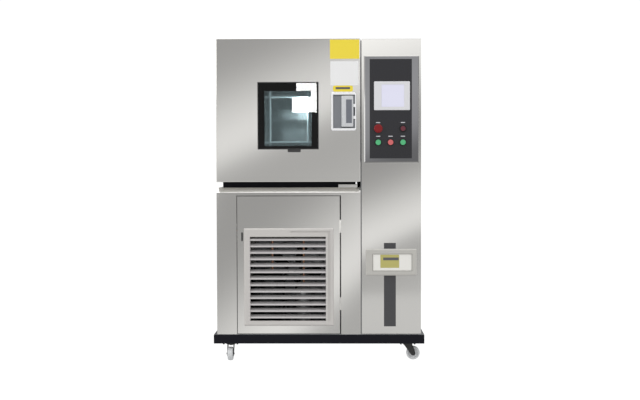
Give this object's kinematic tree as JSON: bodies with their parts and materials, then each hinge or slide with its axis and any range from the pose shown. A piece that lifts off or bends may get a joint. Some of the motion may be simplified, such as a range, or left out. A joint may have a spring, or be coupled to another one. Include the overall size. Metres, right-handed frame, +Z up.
{
  "type": "environmental test chamber",
  "caption": "Upright stainless temperature and humidity test chamber with windowed door, control column, louvred service door and swivel casters.",
  "frame": {"origin": "on the floor, below the middle of the cabinet", "axes": "+X to the cabinet's right as seen from the front, +Y to the back, +Z up; the door faces -Y"},
  "size_m": [0.98, 1.0553, 1.5],
  "materials": {
    "stainless": "fine brushed stainless sheet",
    "bright_steel": "polished stainless",
    "handle_plating": "satin chrome plate",
    "black_paint": "black powder coat",
    "galvanised": "zinc-plated sheet",
    "cream_frame": "cream moulding",
    "slat_metal": "bright louvre strip",
    "black_plastic": "black moulding",
    "fascia_black": "satin black panel",
    "screen_white": "white screen housing",
    "collar_metal": "turned aluminium",
    "button_green": "lit green cap",
    "button_red": "lit red cap",
    "window_glass": "dark tinted pane",
    "inner_glass": "clear pane",
    "level_dark": "dark sight strip",
    "foam": "closed-cell foam board",
    "gasket_rubber": "silicone seal",
    "wheel_grey": "light grey tread",
    "caster_black": "black pressed steel",
    "copper_pipe": "copper tube",
    "fin_aluminium": "fin stack",
    "compressor_black": "black enamel shell",
    "motor_grey": "grey motor paint",
    "fan_dark": "moulded fan",
    "wire_steel": "polished wire",
    "water_plastic": "milky water tank",
    "drawer_plastic": "cream drawer face",
    "port_plastic": "white port sleeve"
  },
  "bodies": {
    "cabinet": {"base_frame": "black_paint", "caster_plates": "caster_black", "floor_and_partition": "galvanised", "lower_front_frame": "stainless", "lower_side_panel": "stainless", "chamber_plinth": "black_paint", "chamber_shell": "stainless", "chamber_insulation": "foam", "chamber_liner": "stainless", "port_sleeve": "port_plastic", "shelf_rails": "stainless", "air_baffle": "stainless", "evaporator_coil": "fin_aluminium", "fan_motor": "motor_grey", "rear_panels": "stainless", "compressor": "compressor_black", "condenser_coil": "fin_aluminium", "fan_shroud": "galvanised", "refrigerant_pipes": "copper_pipe", "door_fittings": "bright_steel", "column_front_panel": "stainless", "column_cover": "stainless", "control_bezel": "bright_steel", "control_fascia": "fascia_black", "touchscreen": "screen_white", "button_collars": "collar_metal", "level_window": "level_dark", "drawer_frame": "cream_frame", "water_tank": "water_plastic", "rear_fittings": "collar_metal"},
    "door": {"door_skin": "stainless", "window_frame": "black_plastic", "window_glass_outer": "window_glass", "door_inner_pan": "bright_steel", "window_glass_inner": "inner_glass", "door_insulation": "foam", "door_gasket": "gasket_rubber", "hinge_leaves_door": "bright_steel", "handle_base": "handle_plating"},
    "handle_lever": {"handle_lever": "handle_plating"},
    "service_door": {"service_door_panel": "stainless", "grille_frame": "cream_frame", "grille_slats": "slat_metal"},
    "service_latch": {"service_latch": "black_plastic"},
    "water_drawer": {"water_drawer": "drawer_plastic"},
    "wire_shelf": {"wire_shelf": "wire_steel"},
    "circulation_fan": {"circulation_fan": "collar_metal"},
    "condenser_fan": {"condenser_fan": "fan_dark"},
    "button_power": {"button_power": "button_green"},
    "button_reset": {"button_reset": "button_red"},
    "button_light": {"button_light": "button_green"},
    "stop_button": {"stop_button": "button_red"},
    "caster_front_left": {"caster_fork_front_left": "caster_black"},
    "wheel_front_left": {"caster_wheel_front_left": "wheel_grey"},
    "caster_front_right": {"caster_fork_front_right": "caster_black"},
    "wheel_front_right": {"caster_wheel_front_right": "wheel_grey"},
    "caster_back_left": {"caster_fork_back_left": "caster_black"},
    "wheel_back_left": {"caster_wheel_back_left": "wheel_grey"},
    "caster_back_right": {"caster_fork_back_right": "caster_black"},
    "wheel_back_right": {"caster_wheel_back_right": "wheel_grey"}
  },
  "joints": [
    {"name": "door_hinge", "type": "hinge", "parent": "cabinet", "child": "door", "pos_m": [-0.4825, -0.414, 1.1675], "axis": [0, 0, -1], "range_deg": [0, 120]},
    {"name": "lever_pivot", "type": "hinge", "parent": "door", "child": "handle_lever", "pos_m": [0.162, -0.501, 1.1605], "axis": [0, 0, 1], "range_deg": [0, 40], "stiffness_Nm_per_rad": 2},
    {"name": "service_hinge", "type": "hinge", "parent": "cabinet", "child": "service_door", "pos_m": [0.101, -0.503, 0.45], "axis": [0, 0, 1], "range_deg": [0, 95]},
    {"name": "latch_turn", "type": "hinge", "parent": "service_door", "child": "service_latch", "pos_m": [-0.357, -0.5, 0.5985], "axis": [0, 1, 0], "range_deg": [0, 90]},
    {"name": "drawer_slide", "type": "slide", "parent": "cabinet", "child": "water_drawer", "axis": [0, -1, 0], "range_m": [0, 0.18]},
    {"name": "shelf_slide", "type": "slide", "parent": "cabinet", "child": "wire_shelf", "axis": [0, -1, 0], "range_m": [0, 0.034]},
    {"name": "circulation_fan_spin", "type": "hinge", "parent": "cabinet", "child": "circulation_fan", "pos_m": [-0.137, 0.16, 1.25], "axis": [0, 1, 0], "continuous": true},
    {"name": "condenser_fan_spin", "type": "hinge", "parent": "cabinet", "child": "condenser_fan", "pos_m": [-0.15, 0.353, 0.3355], "axis": [0, 1, 0], "continuous": true},
    {"name": "button_power_press", "type": "slide", "parent": "cabinet", "child": "button_power", "axis": [0, 1, 0], "range_m": [0, 0.004], "stiffness_N_per_m": 400},
    {"name": "button_reset_press", "type": "slide", "parent": "cabinet", "child": "button_reset", "axis": [0, 1, 0], "range_m": [0, 0.004], "stiffness_N_per_m": 400},
    {"name": "button_light_press", "type": "slide", "parent": "cabinet", "child": "button_light", "axis": [0, 1, 0], "range_m": [0, 0.004], "stiffness_N_per_m": 400},
    {"name": "stop_button_press", "type": "slide", "parent": "cabinet", "child": "stop_button", "axis": [0, 1, 0], "range_m": [0, 0.005], "stiffness_N_per_m": 500},
    {"name": "swivel_front_left", "type": "hinge", "parent": "cabinet", "child": "caster_front_left", "pos_m": [-0.415, -0.455, 0.075], "axis": [0, 0, 1], "continuous": true},
    {"name": "roll_front_left", "type": "hinge", "parent": "caster_front_left", "child": "wheel_front_left", "pos_m": [-0.415, -0.481, 0.0315], "axis": [1, 0, 0], "continuous": true},
    {"name": "swivel_front_right", "type": "hinge", "parent": "cabinet", "child": "caster_front_right", "pos_m": [0.415, -0.455, 0.075], "axis": [0, 0, 1], "continuous": true},
    {"name": "roll_front_right", "type": "hinge", "parent": "caster_front_right", "child": "wheel_front_right", "pos_m": [0.441, -0.455, 0.0315], "axis": [0, 1, 0], "continuous": true},
    {"name": "swivel_back_left", "type": "hinge", "parent": "cabinet", "child": "caster_back_left", "pos_m": [-0.415, 0.455, 0.075], "axis": [0, 0, 1], "continuous": true},
    {"name": "roll_back_left", "type": "hinge", "parent": "caster_back_left", "child": "wheel_back_left", "pos_m": [-0.415, 0.481, 0.0315], "axis": [1, 0, 0], "continuous": true},
    {"name": "swivel_back_right", "type": "hinge", "parent": "cabinet", "child": "caster_back_right", "pos_m": [0.415, 0.455, 0.075], "axis": [0, 0, 1], "continuous": true},
    {"name": "roll_back_right", "type": "hinge", "parent": "caster_back_right", "child": "wheel_back_right", "pos_m": [0.415, 0.481, 0.0315], "axis": [1, 0, 0], "continuous": true}
  ]
}
